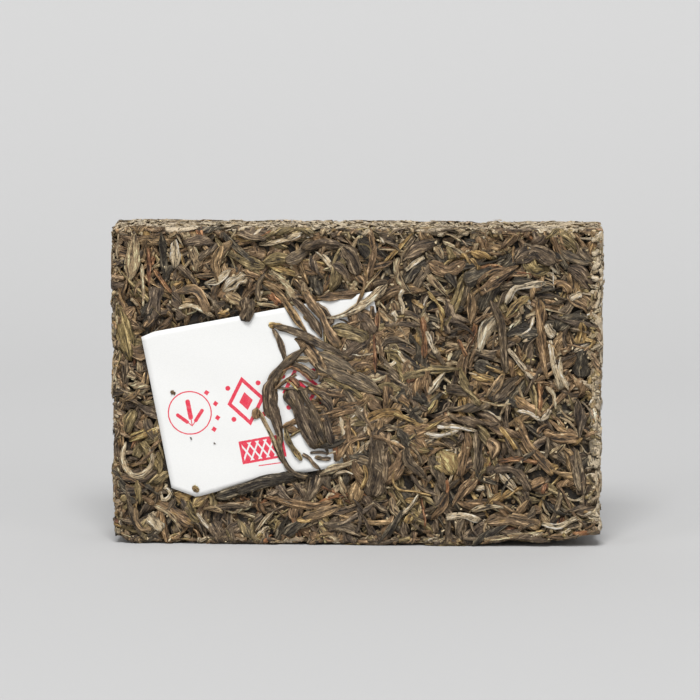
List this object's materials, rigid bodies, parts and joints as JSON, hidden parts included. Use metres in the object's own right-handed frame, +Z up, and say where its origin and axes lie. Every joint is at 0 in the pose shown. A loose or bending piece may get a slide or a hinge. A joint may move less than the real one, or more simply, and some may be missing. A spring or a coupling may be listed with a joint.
{
  "type": "pressed pu erh tea brick",
  "caption": "Rectangular brick of pressed tea leaves standing on its long edge, with a tilted paper ticket set into its front under loosened leaves.",
  "frame": {"origin": "middle of the base, the long edge that the brick stands on", "axes": "+X along the brick's length to the right of the ticketed front, +Y through its thickness away from that front, +Z up"},
  "size_m": [0.145, 0.027, 0.095],
  "materials": {
    "tea_leaf": "dry pressed leaf, matt with a faint sheen",
    "ticket_paper": "thin white paper printed in one red"
  },
  "bodies": {
    "root": {"tea_brick": "tea_leaf", "paper_ticket": "ticket_paper"}
  },
  "joints": []
}
